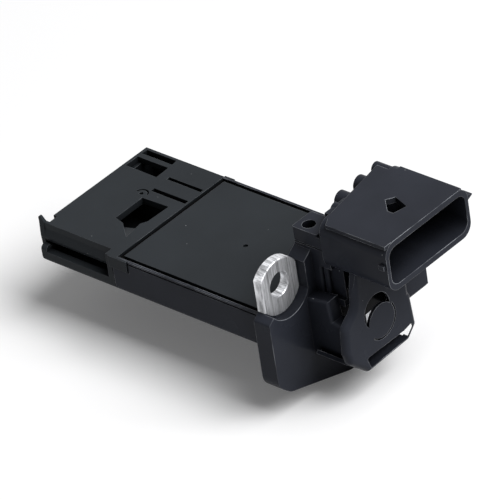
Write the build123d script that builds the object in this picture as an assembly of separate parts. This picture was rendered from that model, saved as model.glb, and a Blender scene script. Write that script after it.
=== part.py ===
from build123d import *
import math
import os

# Plug-in mass airflow sensor, in millimetres.
# X runs along the probe: the flange seats on the tube at X = 0, the probe reaches
# towards -X and the socket opens towards +X. Y is the probe's width and Z its
# thickness. The origin is halfway between the two screws, on the seating plane.

# Probe
PROBE_WIDTH = 28.0
PROBE_THICK = 6.92
PROBE_REACH = 52.0
TIP_LENGTH = 17.0
SKIN = 1.2
BOTTOM_ROUND = 0.8

# Lid over the electronics, its groove and the rim outside the groove
RIM_WIDTH = 0.45
GROOVE_WIDTH = 0.75
TIP_GROOVE_WIDTH = 0.95
TIP_OVERLAP = 1.1
BEAD_DROP = 0.55
SEAM_DEPTH = 0.2
SEAM_HEIGHT = 0.35
SEAM_DROP = 0.3
LID_MARK_R = 0.45
LID_MARK_X = -16.8
LID_TUCK = 0.3
LID_GAP = 0.04

# Electronics chamber
CHAMBER_WALL = 2.4
CHAMBER_TIP_WALL = 3.5
CHAMBER_END_WALL = 2.5
CHAMBER_FLOOR = 1.5
CHAMBER_CORNER = 1.0
PART_GAP = 0.15

# Board, heat plate and chips
PLATE_THICK = 1.0
BOARD_THICK = 0.8
PLATE_SHORT_OF_BOARD = 2.5
BOARD_TO_TERMINALS = 2.35
TONGUE_WIDTH = 5.0
TONGUE_REACH = 12.0
TONGUE_Y = 6.6
CONTROL_CHIP = (7.0, 6.0, 0.7)
CAPACITOR_TO_CHIP = 6.5
GEL_MARGIN = 1.2
GEL_THICK = 1.3
CAPACITOR = (1.6, 0.8, 0.8)
CAPACITOR_COUNT = 6
CAPACITOR_PITCH = 2.2
CAPACITOR_SHARE = 0.26
CARRIER = (5.0, 3.6, 0.35)
SENSING_CHIP = (2.4, 2.0, 0.3)
CARRIER_FROM_TIP = 0.5
CHIP_SHIFT = 0.8
GEL_CORNER = 1.5
BOND_WIRE_R = 0.06
BOND_WIRE_COUNT = 6
BOND_WIRE_PITCH = 0.32
BOND_WIRE_RISE = 0.35
BOND_PAD_INSET = 0.3
BOND_PAD_OUT = 0.9

# Air temperature sensor
BEAD_R = 0.7
BEAD_LENGTH = 1.54
BEAD_TO_JOINT = 3.2
BEAD_INSET = 5.3
LEAD_R = 0.15
LEAD_SPREAD = 0.8
LEAD_Z = 0.35
LEAD_ON_BOARD = 1.0

# Tip of the probe. Along X, its features are measured from the tip's end or from
# the joint with the probe. Along Y, insets are measured from the probe's sides.
TIP_WALL = 0.5
TIP_FLOOR = 1.1
LIP_INSET = 1.65
LIP_THICK = 1.0
LIP_FLARE = 0.35
LIP_BEND_Z = 0.7
LIP_BOTTOM_Z = -0.75
LIP_CURL = 1.4
LIP_TO_JOINT = 1.3
BEAK_REACH = 1.25
BEAK_LEAN = 0.45
BEAK_RISE = 1.0
BEAK_CURL = 0.6
BEAK_WIDTH = 0.45
BEAK_BOTTOM_Z = -1.25
STEP_INSET = 4.1
STEP_DEPTH = 0.8
LEDGE_TOP_Z = -1.35
LEDGE_THICK = 1.3
CHEEK_TOP_Z = -0.3
INLET_END_GAP = 0.05
CHEEK_ROUND = 0.8
TIP_ROUND = 1.1

# Wall that turns the air: from the tip's end and the middle, then round the tongue
DIVIDER_THICK = 0.9
DIVIDER_CURVE = [(4.5, 7.2), (3.7, 4.0), (4.7, -3.0), (7.5, -8.5)]
DIVIDER_TO_TONGUE = 0.8
DIVIDER_BESIDE_TONGUE = 0.9
DIVIDER_INSET = 2.8

# Windows in the tip's cover: corners from the tip's end and the far side
WINDOW_NARROW = [(0.55, -1.85), (0.7, -0.55), (7.5, -0.55), (7.65, -1.85)]
WINDOW_WIDE = [(0.6, -6.05), (0.6, -2.9), (7.7, -2.9), (7.85, -6.15)]

# Slots in the tip's cover: ends from the tip's end and past the joint, insets
SLOT_FROM_TIP = 9.8
SLOT_PAST_JOINT = 0.65
SLOT_FAR = (4.95, 5.7)
SLOT_NEAR = (8.85, 9.75)

# Outlet, its ramp and the round mark: corners from the joint and the middle
OUTLET = [(-7.0, -5.0), (-7.1, 1.95), (-1.2, 2.15), (-1.4, -3.0, 0.8), (-2.3, -4.6, 0.8), (-4.6, -5.6)]
RAMP = [(-1.45, -8.45), (-5.5, -5.0), (-2.1, -4.0)]
RAMP_DROP = 1.0
DOT_AT = (-8.1, 2.8)
DOT_R = 0.4
RING_R = 1.35
RING_WIDTH = 0.35
MARK_DEPTH = 0.35

# Clips of the tip's cover on the probe's sides, measured from the joint
CLIP_NEAR = (-0.5, 3.6)
CLIP_FAR = (1.1, 3.3)
CLIP_BOTTOM_Z = 1.3
CLIP_THICK = 0.45
CLIP_PROUD = 0.25
CLIP_GAP = 0.2
JOINT_GROOVE = (0.15, 0.2)

# Flange and its two bushes
FLANGE_THICK = 3.5
SCREW_Y = 11.5
SCREW_Z = 9.2
SCREW_HOLE_R = 2.2
BUSH_R = 5.15
BUSH_DROP = 0.5
BUSH_THICK = 1.7
BUSH_CHAMFER = 0.15
BUSH_FLATS = (-4.15, 4.5)
BUSH_TANG = (2.4, 6.0, 0.8)
COLLAR_CLEARANCE = 0.12
RELIEF_WIDTH = 1.5
RELIEF_FROM_SCREW = (-1.2, 3.0)
FLANGE_EDGE_Y = 17.0
FLANGE_TOP_Z = 4.6
FLANGE_LOW_Z = -7.9
FLANGE_CORNER = (14.4, -10.25)
FLANGE_CORNER_R = 3.0
FLANGE_TAIL = (-1.6, -15.25)
FLANGE_TAIL_R = 4.0
FLANGE_TOP_R = 0.5

# Neck tower beside the upper bush
TOWER_TOP_Z = 16.4
TOWER_X = 5.4
TOWER_Y = (-5.1, -0.1)
TOWER_HOLE_R = 1.2
TOWER_HOLE_AT = (2.2, -3.2)
TOWER_HOLE_DEPTH = 9.0
TOWER_SEAM_Z = 13.6
TOWER_SEAM = (6.6, 0.25, 0.3)
TOWER_ROUND = 0.5
WEB_TOP_Z = 15.9

# Neck core: its sides are measured from the socket's sides
CORE_X = 9.6
CORE_INSET_LEFT = 0.6
CORE_INSET_RIGHT = 0.7
CORE_BOTTOM_Z = -4.05
CORE_INTO_SOCKET = 3.0
CORE_RIGHT_X = 10.0
CORE_RIGHT_WIDTH = 7.7
CORE_RIGHT_Z = -3.6
BRIDGE_Y = (-3.0, 6.4)
BRIDGE_LOW_Z = 5.2
BRIDGE_INTO_SOCKET = 1.0
HOLLOW_X = 6.3
HOLLOW_TOP_Z = 3.4
HOLLOW_RIGHT_Y = 7.0

# Pockets in the neck's left side and the lower block that stands out below them
POCKET_X = (3.5, 5.6)
POCKET_Z = (4.7, 11.3)
POCKET_DEPTH = 1.4
SHALLOW_DEPTH = 0.7
PILLAR_X = 6.8
PILLAR_ROUND = 0.4
BLOCK_Y = -7.6
BLOCK_THICK = 2.6
BLOCK_WALL = 1.8
BLOCK_BOTTOM_Z = -6.0
BLOCK_TOP_Z = 4.7
BLOCK_STEP = [(8.2, 5.4), (8.7, 1.5)]
BLOCK_STEP_Z = 1.1
BLOCK_ROUND = 0.6
FOOT_X = 8.4
FOOT_Y = (-7.2, -0.6)
FOOT_DROP = 0.6

# Face plate below the socket, its skirt and its round gate
FACE_X = 13.0
FACE_THICK = 1.3
FACE_LEFT = [(-5.0, 11.35), (-5.9, 7.5), (-6.1, 4.8, 3.0), (-9.2, 2.4, 2.0), (-9.6, -2.6, 2.0)]
FACE_FOOT = [(-9.0, -4.9, 1.5), (-4.9, -8.85, 1.0), (5.5, -8.55, 0.8), (7.75, -6.45, 0.8)]
FACE_RIGHT = [(7.3, -0.2), (6.9, 0.4), (6.9, 11.35)]
FACE_SLOT = [(-5.2, -5.75, 0.4), (4.4, -5.9), (6.35, -5.5, 0.3)]
FACE_SLOT_FOOT = [(6.75, -6.5, 0.3), (5.2, -7.85, 0.4), (-4.4, -8.1, 0.4)]
FACE_RIM_Y = 6.7
FACE_RIM_ROUND = 1.0
FACE_NOTCH_Y = 5.4
FACE_NOTCH_Z = (-9.0, -4.8)
FACE_NOTCH_SKIN = 0.35
SKIRT_WALL = 0.7
SKIRT_BACK_X = 5.1
SKIRT_PATH = [(-8.6, -5.0), (-4.75, -8.45), (5.2, -8.2)]
GATE_HOLE_AT = (-1.25, 1.7)
GATE_DISC_AT = (-0.4, -0.85)
GATE_R = 3.2
GATE_SLIT = 0.28
GATE_SLIT_DEG = (-137.0, 34.0)
GATE_THICK = 0.6

# Socket shroud: its middle is measured from the probe's far side
SOCKET_MOUTH_X = 21.0
SOCKET_BACK_X = 6.7
SOCKET_WIDTH = 21.0
SOCKET_MID_INSET = 9.1
SOCKET_Z = (10.2, 19.6)
SOCKET_ROUND = 2.4
SOCKET_SIDE_WALL = 0.75
SOCKET_BED_WALL = 1.1
SOCKET_INNER_ROUND = 1.8
SOCKET_DEPTH = 9.8
MOUTH_LEAD = 0.1

# Roof plate on the socket, its latch window and the keys beside the mouth. Along X
# they are measured back from the mouth, and along Y from the socket's left side.
ROOF = [(0.1, 0.15), (12.8, 0.15), (14.2, 2.7), (16.8, 18.1), (13.1, 18.1), (13.1, 19.8), (0.1, 19.8)]
ROOF_THICK = 0.7
LATCH_WINDOW = [(8.93, 10.88), (7.93, 12.36), (4.61, 11.21), (5.24, 8.51), (6.48, 8.53)]
KEY_LEFT = [(0.3, 1.5), (15.1, 15.9)]
KEY_LEFT_PROUD = 0.5
KEY_RIGHT_BACK = 2.0
KEY_RIGHT = [(-0.3, 17.5), (1.25, 17.15), (1.25, 17.0), (-0.1, 16.4)]

# Upright ribs behind the roof: sides from the socket's left side, and back end
RIB_TOP_Z = 19.2
RIB_FOOT_Z = 6.0
REAR_RIBS = [(5.2, 7.5, 4.7), (7.9, 11.0, 3.2), (13.0, 16.1, 3.0), (17.9, 20.2, 2.85)]
REAR_BLOCK_X = 5.0
REAR_BLOCK_INSET = (3.6, 1.7)

# Terminals
TERMINAL_SIDE = 0.64
TERMINAL_PITCH = 3.0
TERMINAL_COUNT = 5
TERMINAL_RISE_X = 5.2
TERMINAL_SHORT_OF_MOUTH = 4.6
TERMINAL_TAPER = 0.8
TERMINAL_INSIDE = 4.0
TERMINAL_BED_Z = 0.2
TERMINAL_WIRE_R = 0.12
TERMINAL_WIRE_RISE = 0.4
TERMINAL_PAD = 0.6
SHELF_PAST_TERMINALS = 1.0

# Places worked out from the sizes above
HALF_W = PROBE_WIDTH / 2
TOP_Z = PROBE_THICK / 2
BOTTOM_Z = -TOP_Z
SEAT_Z = TOP_Z - SKIN
TIP_X = -PROBE_REACH
JOINT_X = TIP_X + TIP_LENGTH
COVER_END_X = JOINT_X + TIP_OVERLAP
LID_TIP_X = COVER_END_X + TIP_GROOVE_WIDTH
LID_END_X = LID_TUCK - LID_GAP
GROOVE_HALF_W = HALF_W - RIM_WIDTH
LID_HALF_W = GROOVE_HALF_W - GROOVE_WIDTH
CHAMBER_TIP_X = JOINT_X + CHAMBER_TIP_WALL
CHAMBER_END_X = -CHAMBER_END_WALL
CHAMBER_HALF_W = HALF_W - CHAMBER_WALL
FLOOR_Z = BOTTOM_Z + CHAMBER_FLOOR
PLATE_TOP_Z = FLOOR_Z + PLATE_THICK
BOARD_TOP_Z = PLATE_TOP_Z + BOARD_THICK
BOARD_TIP_X = CHAMBER_TIP_X + PART_GAP
TONGUE_TIP_X = CHAMBER_TIP_X - TONGUE_REACH
LIP_Y = LIP_INSET - HALF_W
LIP_OUTER_Y = LIP_Y - LIP_FLARE
LIP_END_X = JOINT_X - LIP_TO_JOINT
CHANNEL_SIDE_Y = LIP_Y + LIP_CURL + PART_GAP
BEAD_X = JOINT_X - BEAD_TO_JOINT
BEAD_Y = BEAD_INSET - HALF_W
CHANNEL_FLOOR_Z = BOTTOM_Z + TIP_FLOOR
FACE_BACK_X = FACE_X - FACE_THICK
SOCKET_MID_Y = HALF_W - SOCKET_MID_INSET
SOCKET_LEFT_Y = SOCKET_MID_Y - SOCKET_WIDTH / 2
SOCKET_RIGHT_Y = SOCKET_MID_Y + SOCKET_WIDTH / 2
SOCKET_MID_Z = (SOCKET_Z[0] + SOCKET_Z[1]) / 2
SOCKET_FLOOR_X = SOCKET_MOUTH_X - SOCKET_DEPTH
CORE_LEFT_Y = SOCKET_LEFT_Y + CORE_INSET_LEFT
CORE_RIGHT_Y = SOCKET_RIGHT_Y - CORE_INSET_RIGHT
TERMINAL_Z = TERMINAL_BED_Z + TERMINAL_SIDE / 2
TERMINAL_START_X = CHAMBER_END_X - TERMINAL_INSIDE
SHELF_X = TERMINAL_START_X - SHELF_PAST_TERMINALS
BOARD_END_X = TERMINAL_START_X - BOARD_TO_TERMINALS
BOARD_LENGTH = BOARD_END_X - BOARD_TIP_X
PLATE_LENGTH = BOARD_LENGTH - PLATE_SHORT_OF_BOARD
CAPACITOR_X = BOARD_TIP_X + BOARD_LENGTH * CAPACITOR_SHARE
CONTROL_CHIP_X = CAPACITOR_X + CAPACITOR_TO_CHIP
THROUGH = 1.0
SCREWS = {"upper": (-SCREW_Y, SCREW_Z, 0.0), "lower": (SCREW_Y, -SCREW_Z, 180.0)}


def slab(x0, x1, y0, y1, z0, z1):
    """A box given by its two corners."""
    size = (x1 - x0, y1 - y0, z1 - z0)
    return Pos((x0 + x1) / 2, (y0 + y1) / 2, (z0 + z1) / 2) * Box(*size)


def outline(points):
    """A flat face through the points; a third number rounds that corner."""
    face = Polygon(*[(point[0], point[1]) for point in points], align=None)
    for point in points:
        if len(point) == 3:
            corner = face.vertices().sort_by_distance((point[0], point[1], 0))[0]
            face = fillet(corner, point[2])
    return face


def along_x(face, x0, x1):
    """Push a (y, z) face from x0 to x1."""
    return extrude(Plane.YZ.offset(x0) * face, amount=x1 - x0, dir=(1, 0, 0))


def along_y(face, y0, y1):
    """Push an (x, z) face from y0 to y1."""
    return extrude(Plane.XZ.offset(-y0) * face, amount=y1 - y0, dir=(0, 1, 0))


def along_z(face, z0, z1):
    """Push an (x, y) face from z0 to z1."""
    return extrude(Plane.XY.offset(z0) * face, amount=z1 - z0, dir=(0, 0, 1))


def mirrored(part, side):
    """The part as it is on the +Y side, or its mirror image on the -Y side."""
    return part if side > 0 else mirror(part, about=Plane.XZ)


def rod_x(radius, x0, x1, y, z):
    """A round rod along X."""
    return along_x(Pos(y, z) * Circle(radius), x0, x1)


def ribbon(points, width):
    """A flat band of even width along a broken line of points."""
    band = Sketch()
    for start, end in zip(points, points[1:]):
        length = math.dist(start, end)
        turn = math.degrees(math.atan2(end[1] - start[1], end[0] - start[0]))
        middle = Pos((start[0] + end[0]) / 2, (start[1] + end[1]) / 2)
        band += middle * Rot(0, 0, turn) * Rectangle(length, width)
    for point in points[1:-1]:
        band += Pos(*point) * Circle(width / 2)
    return band


def at_screw(name, part):
    """Place a part made about the X axis at one of the two screws."""
    y, z, turn = SCREWS[name]
    return Pos(0, y, z) * Rot(turn, 0, 0) * part


def bush_face(grow):
    """Outline of a bush about its screw: a disc with two flats, grown evenly."""
    disc = Pos(0, -BUSH_DROP) * Circle(BUSH_R + grow)
    left, right = BUSH_FLATS[0] - grow, BUSH_FLATS[1] + grow
    return disc & Pos((left + right) / 2, 0) * Rectangle(right - left, 4 * BUSH_R)


def bush_blank():
    """Bush before its hole is drilled, with a tang that holds it in the flange."""
    disc = along_x(bush_face(0), 0, BUSH_THICK)
    disc = chamfer(disc.faces().sort_by(Axis.X)[-1].edges(), BUSH_CHAMFER)
    depth, width, thick = BUSH_TANG
    middle = BUSH_THICK / 2
    tang = slab(middle - thick / 2, middle + thick / 2, 0, BUSH_R + depth, -width / 2, width / 2)
    return disc + Rot(-math.degrees(math.atan2(SCREW_Z, SCREW_Y)), 0, 0) * tang


def screw_bush(name):
    """Aluminium bush with its screw hole, eased at the front."""
    disc = bush_blank() - rod_x(SCREW_HOLE_R, 0, BUSH_THICK, 0, 0)
    mouth = Plane.YZ.offset(BUSH_THICK - BUSH_CHAMFER) * Circle(SCREW_HOLE_R)
    rim = Plane.YZ.offset(BUSH_THICK) * Circle(SCREW_HOLE_R + BUSH_CHAMFER)
    disc -= loft([mouth.face(), rim.face()])
    return at_screw(name, disc)


def bush_room(name):
    """Room for a bush in the flange, open to the front."""
    front = along_x(bush_face(COLLAR_CLEARANCE), BUSH_THICK, FLANGE_THICK + THROUGH)
    return at_screw(name, front + bush_blank())


def bush_relief():
    """Relief beside the lower bush, so that the bush shows through the gate."""
    side = SCREW_Y - BUSH_FLATS[1]
    low, high = [offset - SCREW_Z for offset in RELIEF_FROM_SCREW]
    return slab(BUSH_THICK, FLANGE_THICK, side - RELIEF_WIDTH, side, low, high)


def terminal_y(index):
    """Middle of a terminal across the socket."""
    return SOCKET_MID_Y + (index - (TERMINAL_COUNT - 1) / 2) * TERMINAL_PITCH


def terminal(index):
    """One flat-sided pin: along the chamber, up the neck and out into the socket."""
    half = TERMINAL_SIDE / 2
    y = terminal_y(index)
    tip = SOCKET_MOUTH_X - TERMINAL_SHORT_OF_MOUTH
    low, high = TERMINAL_Z, SOCKET_MID_Z
    points = [
        (TERMINAL_START_X, low - half),
        (TERMINAL_RISE_X + half, low - half),
        (TERMINAL_RISE_X + half, high - half),
        (tip - TERMINAL_TAPER, high - half),
        (tip, high - half / 2),
        (tip, high + half / 2),
        (tip - TERMINAL_TAPER, high + half),
        (TERMINAL_RISE_X - half, high + half),
        (TERMINAL_RISE_X - half, low + half),
        (TERMINAL_START_X, low + half),
    ]
    return along_y(outline(points), y - half, y + half)


def probe_body():
    """Flat probe with the open electronics chamber and the groove in its sides."""
    body = slab(JOINT_X, 0, -HALF_W, HALF_W, BOTTOM_Z, TOP_Z)
    long_edges = body.edges().filter_by(Axis.X).group_by(Axis.Z)[0]
    body = fillet(long_edges, BOTTOM_ROUND)
    body -= slab(JOINT_X, COVER_END_X, -HALF_W, HALF_W, SEAT_Z, TOP_Z)
    half = CHAMBER_HALF_W
    body -= slab(CHAMBER_TIP_X, SHELF_X, -half, half, FLOOR_Z, SEAT_Z)
    body -= slab(SHELF_X, CHAMBER_END_X, -half, half, TERMINAL_BED_Z, SEAT_Z)
    body -= tongue_room()
    seam_top = TOP_Z - SEAM_DROP
    for side, span in ((-1, CLIP_NEAR), (1, CLIP_FAR)):
        body -= clip(side, span, CLIP_GAP)
        start = JOINT_X + span[1]
        seam = slab(start, 0, HALF_W - SEAM_DEPTH, HALF_W, seam_top - SEAM_HEIGHT, seam_top)
        body -= mirrored(seam, side)
    return body - thermistor_leads()


def lid_room():
    """Seat and groove of the lid, which tucks a little into the flange."""
    return slab(COVER_END_X, LID_TUCK, -GROOVE_HALF_W, GROOVE_HALF_W, SEAT_Z, TOP_Z)


def tongue_room():
    """Passage of the board's tongue through the wall between chamber and tip."""
    half = TONGUE_WIDTH / 2
    low, high = TONGUE_Y - half, TONGUE_Y + half
    return slab(TONGUE_TIP_X, CHAMBER_TIP_X, low, high, PLATE_TOP_Z, BOARD_TOP_Z)


def flange():
    """Flange outline about the two screws, the same after half a turn."""
    half = [
        (-FLANGE_TAIL[0], FLANGE_TAIL[1], FLANGE_TAIL_R),
        (-FLANGE_CORNER[0], FLANGE_CORNER[1], FLANGE_CORNER_R),
        (-FLANGE_EDGE_Y, FLANGE_LOW_Z, FLANGE_CORNER_R),
        (-FLANGE_EDGE_Y, FLANGE_TOP_Z, FLANGE_TOP_R),
    ]
    other = [(-point[0], -point[1], *point[2:]) for point in half]
    return along_x(outline(half + other), 0, FLANGE_THICK)


def tower():
    """Block beside the upper bush, the seam across it and the web to the socket."""
    left, right = TOWER_Y
    block = slab(0, TOWER_X, left, right, TOP_Z, TOWER_TOP_Z)
    block = fillet(block.edges().filter_by(Axis.Z), TOWER_ROUND)
    block += slab(TOWER_X / 2, SOCKET_BACK_X + THROUGH, left, right, SOCKET_Z[0], WEB_TOP_Z)
    length, height, depth = TOWER_SEAM
    low = TOWER_SEAM_Z - height / 2
    return block - slab(0, length, left, left + depth, low, low + height)


def neck_core():
    """Neck between flange and socket, hollow below so that the lower screw is seen."""
    left, right = CORE_LEFT_Y, CORE_RIGHT_Y
    top = SOCKET_Z[0] + CORE_INTO_SOCKET
    core = slab(0, CORE_X, left, right, CORE_BOTTOM_Z, top)
    core += slab(0, CORE_RIGHT_X, right - CORE_RIGHT_WIDTH, right, CORE_RIGHT_Z, top)
    bridge_top = SOCKET_Z[0] + BRIDGE_INTO_SOCKET
    core += slab(CORE_X, FACE_BACK_X, BRIDGE_Y[0], BRIDGE_Y[1], BRIDGE_LOW_Z, bridge_top)
    core -= slab(HOLLOW_X, FACE_BACK_X, left, HOLLOW_RIGHT_Y, BLOCK_BOTTOM_Z, HOLLOW_TOP_Z)
    core -= slab(POCKET_X[0], POCKET_X[1], left, left + POCKET_DEPTH, *POCKET_Z)
    core -= slab(PILLAR_X, CORE_X, left, left + SHALLOW_DEPTH, BLOCK_TOP_Z, POCKET_Z[1])
    pillar = slab(POCKET_X[1], PILLAR_X, left, left + POCKET_DEPTH, *POCKET_Z)
    upright = pillar.edges().filter_by(Axis.Z).group_by(Axis.Y)[0]
    return core - pillar + fillet(upright, PILLAR_ROUND)


def lower_block():
    """Wall of the neck that stands out below the pockets, with the foot under it."""
    profile = [(FLANGE_THICK, BLOCK_TOP_Z)] + BLOCK_STEP + [(FACE_BACK_X, BLOCK_STEP_Z)]
    profile += [(FACE_BACK_X, BLOCK_BOTTOM_Z), (FLANGE_THICK, BLOCK_BOTTOM_Z)]
    block = along_y(outline(profile), BLOCK_Y, BLOCK_Y + BLOCK_THICK)
    front = block.faces().sort_by(Axis.Y)[0].edges()
    top = [edge for edge in front if edge.center().Z > BLOCK_STEP_Z and edge.center().X < FACE_X]
    block = fillet([edge for edge in top if edge.center().X > FLANGE_THICK], BLOCK_ROUND)
    inner_y = BLOCK_Y + BLOCK_WALL
    block += slab(FLANGE_THICK, HOLLOW_X, inner_y, CORE_RIGHT_Y, CORE_BOTTOM_Z, BLOCK_TOP_Z)
    foot_z = BLOCK_BOTTOM_Z - FOOT_DROP
    block += slab(FLANGE_THICK, FOOT_X, FOOT_Y[0], FOOT_Y[1], foot_z, BLOCK_BOTTOM_Z + FOOT_DROP)
    return block


def face_plate():
    """Plate below the socket with its round gate, and the thin skirt around its foot."""
    plate = along_x(outline(FACE_LEFT + FACE_FOOT + FACE_RIGHT), FACE_BACK_X, FACE_X)
    rim = [edge for edge in plate.faces().sort_by(Axis.X)[-1].edges() if edge.center().Y > FACE_RIM_Y]
    plate = fillet(rim, FACE_RIM_ROUND)
    plate -= along_x(outline(FACE_SLOT + FACE_SLOT_FOOT), FACE_BACK_X, FACE_X)
    low, high = FACE_NOTCH_Z
    plate -= slab(FACE_BACK_X, FACE_X - FACE_NOTCH_SKIN, FACE_NOTCH_Y, HALF_W, low, high)
    high, centre = Pos(*GATE_HOLE_AT), Pos(*GATE_DISC_AT)
    hole = high * Circle(GATE_R)
    disc = centre * Circle(GATE_R)
    start, end = GATE_SLIT_DEG
    reach = GATE_R * 2
    turns = [math.radians(angle) for angle in (start, (start + end) / 2, end)]
    wedge = outline([(0, 0)] + [(reach * math.cos(turn), reach * math.sin(turn)) for turn in turns])
    wider = Circle(GATE_R + GATE_SLIT)
    slit = centre * ((wider - Circle(GATE_R)) & wedge)
    plate -= along_x(high * wider + centre * wider, FACE_BACK_X, FACE_X - GATE_THICK)
    plate -= along_x(hole - disc + slit, FACE_X - GATE_THICK, FACE_X)
    return plate + along_x(ribbon(SKIRT_PATH, SKIRT_WALL), SKIRT_BACK_X, FACE_BACK_X)


def on_socket(points):
    """Corners given back from the mouth and from the socket's left side."""
    return [(SOCKET_MOUTH_X - point[0], SOCKET_LEFT_Y + point[1]) for point in points]


def socket():
    """Rounded socket shroud with its roof plate and the keys beside its mouth."""
    centre = Pos(SOCKET_MID_Y, SOCKET_MID_Z)
    low, high = SOCKET_Z
    face = RectangleRounded(SOCKET_WIDTH, high - low, SOCKET_ROUND)
    shell = along_x(centre * face, SOCKET_BACK_X, SOCKET_MOUTH_X)
    shell += along_z(outline(on_socket(ROOF)), high - ROOF_THICK, high)
    left, right = REAR_BLOCK_INSET
    rear_left, rear_right = SOCKET_LEFT_Y + left, SOCKET_RIGHT_Y - right
    shell += slab(REAR_BLOCK_X, SOCKET_BACK_X, rear_left, rear_right, low, high - ROOF_THICK)
    shell += slab(REAR_BLOCK_X, SOCKET_BACK_X, CORE_LEFT_Y, CORE_RIGHT_Y, low, WEB_TOP_Z)
    (front, back), (key_low, key_high) = KEY_LEFT
    start, end = SOCKET_MOUTH_X - back, SOCKET_MOUTH_X - front
    outer = SOCKET_LEFT_Y - KEY_LEFT_PROUD
    shell += slab(start, end, outer, SOCKET_LEFT_Y + KEY_LEFT_PROUD, key_low, key_high)
    key = outline([(SOCKET_RIGHT_Y + y, z) for y, z in KEY_RIGHT])
    return shell + along_x(key, SOCKET_MOUTH_X - KEY_RIGHT_BACK, SOCKET_MOUTH_X - MOUTH_LEAD)


def socket_room():
    """Inside of the socket and the latch window in its roof."""
    width = SOCKET_WIDTH - 2 * SOCKET_SIDE_WALL
    height = SOCKET_Z[1] - SOCKET_Z[0] - 2 * SOCKET_BED_WALL
    inside = Pos(SOCKET_MID_Y, SOCKET_MID_Z) * RectangleRounded(width, height, SOCKET_INNER_ROUND)
    room = along_x(inside, SOCKET_FLOOR_X, SOCKET_MOUTH_X)
    return room + along_z(outline(on_socket(LATCH_WINDOW)), SOCKET_MID_Z, SOCKET_Z[1])


def rear_ribs():
    """Upright ribs with rounded tops behind the socket's roof."""
    ribs = Part()
    for left, right, back in REAR_RIBS:
        width = right - left
        middle = SOCKET_LEFT_Y + (left + right) / 2
        round_z = RIB_TOP_Z - width / 2
        face = Pos(middle, round_z) * Circle(width / 2)
        face += Pos(middle, (round_z + RIB_FOOT_Z) / 2) * Rectangle(width, round_z - RIB_FOOT_Z)
        ribs += along_x(face, back, SOCKET_BACK_X + THROUGH)
    return ribs


def housing():
    """The one black moulding that carries everything."""
    body = probe_body() + flange() + tower() + neck_core() + lower_block()
    body += face_plate() + socket() + rear_ribs()
    body -= socket_room() + lid_room()
    hole_x, hole_y = TOWER_HOLE_AT
    hole_z = TOWER_TOP_Z - TOWER_HOLE_DEPTH / 2
    body -= Pos(hole_x, hole_y, hole_z) * Cylinder(TOWER_HOLE_R, TOWER_HOLE_DEPTH)
    body -= bush_relief()
    for name in SCREWS:
        body -= bush_room(name)
    for index in range(TERMINAL_COUNT):
        body -= terminal(index)
    return body


def clip(side, span, gap=0.0):
    """Clip of the tip's cover, or its room in the probe's side with a gap around it."""
    outer = HALF_W + CLIP_PROUD
    start, end = JOINT_X + span[0] - gap, JOINT_X + span[1] + gap
    tab = slab(start, end, outer - CLIP_THICK, outer, CLIP_BOTTOM_Z - gap, TOP_Z)
    return mirrored(tab, side)


def bypass_channel():
    """Lower half of the tip: floor, thin walls, inlet ledge and the curved divider."""
    body = slab(TIP_X, JOINT_X, -HALF_W, HALF_W, BOTTOM_Z, SEAT_Z)
    long_edges = body.edges().filter_by(Axis.X).group_by(Axis.Z)[0]
    body = fillet(long_edges, BOTTOM_ROUND)
    inner_x, side_y = TIP_X + SKIN, CHANNEL_SIDE_Y
    body -= slab(inner_x, JOINT_X - SKIN, side_y, HALF_W - TIP_WALL, CHANNEL_FLOOR_Z, SEAT_Z)
    body -= slab(TIP_X, LIP_END_X, -HALF_W, side_y, LEDGE_TOP_Z, SEAT_Z)
    body -= slab(inner_x, LIP_END_X, LEDGE_THICK - HALF_W, side_y, CHANNEL_FLOOR_Z, SEAT_Z)
    end_top = LIP_BOTTOM_Z - INLET_END_GAP
    body += slab(TIP_X, inner_x, LIP_OUTER_Y - PART_GAP, side_y, LEDGE_TOP_Z, end_top)
    body += cheek() + channel_divider()
    corner = slab(TIP_X, TIP_X + TIP_ROUND, -HALF_W, 0, BOTTOM_Z, BOTTOM_Z + TIP_ROUND)
    arc = Pos(TIP_X + TIP_ROUND, 0, BOTTOM_Z + TIP_ROUND) * Rot(90, 0, 0)
    body -= corner - arc * Cylinder(TIP_ROUND, PROBE_WIDTH)
    width, depth = JOINT_GROOVE
    groove = slab(JOINT_X - width, JOINT_X, HALF_W - depth, HALF_W, BOTTOM_Z, SEAT_Z)
    for side, span in ((-1, CLIP_NEAR), (1, CLIP_FAR)):
        body -= clip(side, span, CLIP_GAP) + mirrored(groove, side)
    return body - tongue_room() - thermistor_leads()


def cheek():
    """Low rounded end of the inlet, at the tip's end."""
    inner_y = LIP_OUTER_Y - PART_GAP
    face = outline([
        (-HALF_W, LEDGE_TOP_Z),
        (-HALF_W, CHEEK_TOP_Z, CHEEK_ROUND),
        (inner_y, CHEEK_TOP_Z),
        (inner_y, LEDGE_TOP_Z),
    ])
    return along_x(face, TIP_X, TIP_X + SKIN)


def channel_divider():
    """Wall that turns the air around the sensing chip, from floor to cover."""
    beside_y = TONGUE_Y - TONGUE_WIDTH / 2 - DIVIDER_BESIDE_TONGUE
    wall_x = TONGUE_TIP_X - DIVIDER_TO_TONGUE
    wall = ribbon([(TIP_X + x, y) for x, y in DIVIDER_CURVE], DIVIDER_THICK)
    corner = (wall_x, beside_y)
    end = (JOINT_X - SKIN / 2, beside_y)
    wall += ribbon([(wall_x, HALF_W - DIVIDER_INSET), corner, end], DIVIDER_THICK)
    return along_z(wall, CHANNEL_FLOOR_Z, SEAT_Z)


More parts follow.
